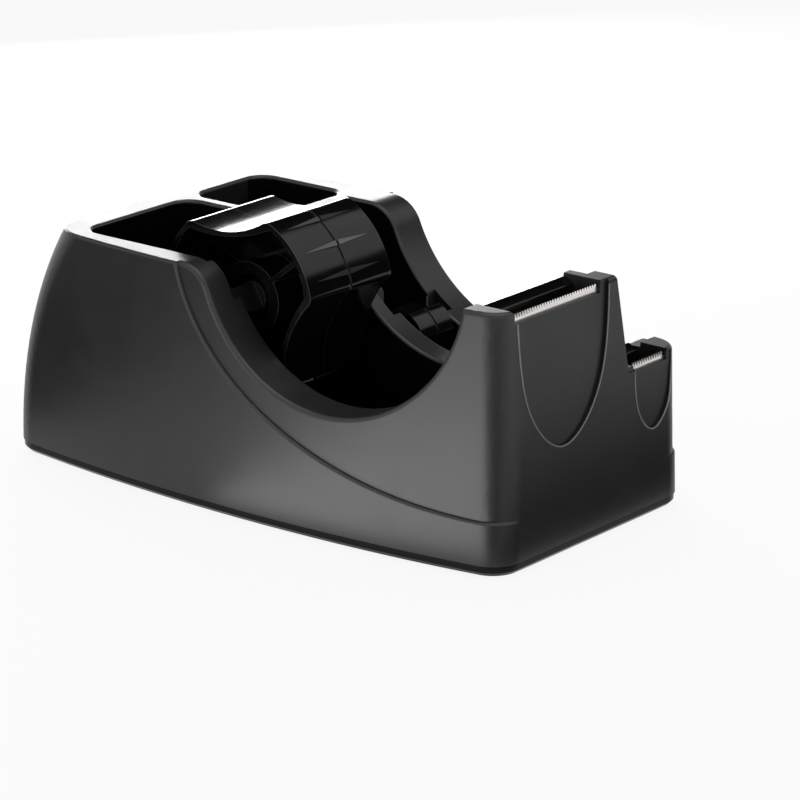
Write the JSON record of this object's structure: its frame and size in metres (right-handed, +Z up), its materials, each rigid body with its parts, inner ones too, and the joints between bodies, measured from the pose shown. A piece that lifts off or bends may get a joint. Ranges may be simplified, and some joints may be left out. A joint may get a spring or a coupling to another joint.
{
  "type": "desk tape dispenser with trays and drawer",
  "caption": "Weighted desk dispenser for a wide and a narrow tape roll on lift-out cores, with two saw-toothed cutters, rear storage wells and a small rear drawer.",
  "frame": {"origin": "on the desk, under the middle of the bounding box", "axes": "+X towards the cutters, +Y towards the narrow-roll side, +Z up"},
  "size_m": [0.254, 0.1396, 0.1144],
  "materials": {
    "housing_plastic": "satin black moulded shell",
    "base_plastic": "smooth black moulded cover",
    "ballast_iron": "rough cast slab",
    "screw_steel": "zinc plated",
    "blade_steel": "bright punched strip",
    "rest_plastic": "gloss black",
    "core_plastic": "gloss black",
    "bush_plastic": "self-lubricating black",
    "axle_plastic": "smooth black",
    "drawer_plastic": "satin black",
    "runner_plastic": "plain black",
    "pad_rubber": "matt rubber"
  },
  "bodies": {
    "housing": {"housing_shell": "housing_plastic", "base_cover": "base_plastic", "ballast_slab": "ballast_iron", "base_screws": "screw_steel", "wide_blade": "blade_steel", "narrow_blade": "blade_steel", "wide_tape_rest": "rest_plastic", "narrow_tape_rest": "rest_plastic", "drawer_runner_left": "runner_plastic", "drawer_runner_right": "runner_plastic", "foot_pad_front_left": "pad_rubber", "foot_pad_front_right": "pad_rubber", "foot_pad_rear_left": "pad_rubber", "foot_pad_rear_right": "pad_rubber"},
    "large_spindle": {"large_axle": "axle_plastic"},
    "large_core": {"large_core_left_half": "core_plastic", "large_core_right_half": "core_plastic", "large_hub_bush_left": "bush_plastic", "large_hub_bush_right": "bush_plastic"},
    "small_spindle": {"small_axle": "axle_plastic"},
    "small_core": {"small_core_left_half": "core_plastic", "small_core_right_half": "core_plastic"},
    "drawer": {"drawer_tray": "drawer_plastic", "drawer_front": "drawer_plastic", "drawer_front_screws": "screw_steel"}
  },
  "joints": [
    {"name": "large_spindle_lift", "type": "slide", "parent": "housing", "child": "large_spindle", "axis": [0, 0, 1], "range_m": [0, 0.06]},
    {"name": "large_core_spin", "type": "hinge", "parent": "large_spindle", "child": "large_core", "pos_m": [-0.0152, -0.02015, 0.07985], "axis": [0, 1, 0], "continuous": true},
    {"name": "small_spindle_lift", "type": "slide", "parent": "housing", "child": "small_spindle", "axis": [0, 0, 1], "range_m": [0, 0.04]},
    {"name": "small_core_spin", "type": "hinge", "parent": "small_spindle", "child": "small_core", "pos_m": [0.0095, 0.0349, 0.0525], "axis": [0, 1, 0], "continuous": true},
    {"name": "drawer_slide", "type": "slide", "parent": "housing", "child": "drawer", "axis": [-1, 0, 0], "range_m": [0, 0.05]}
  ]
}
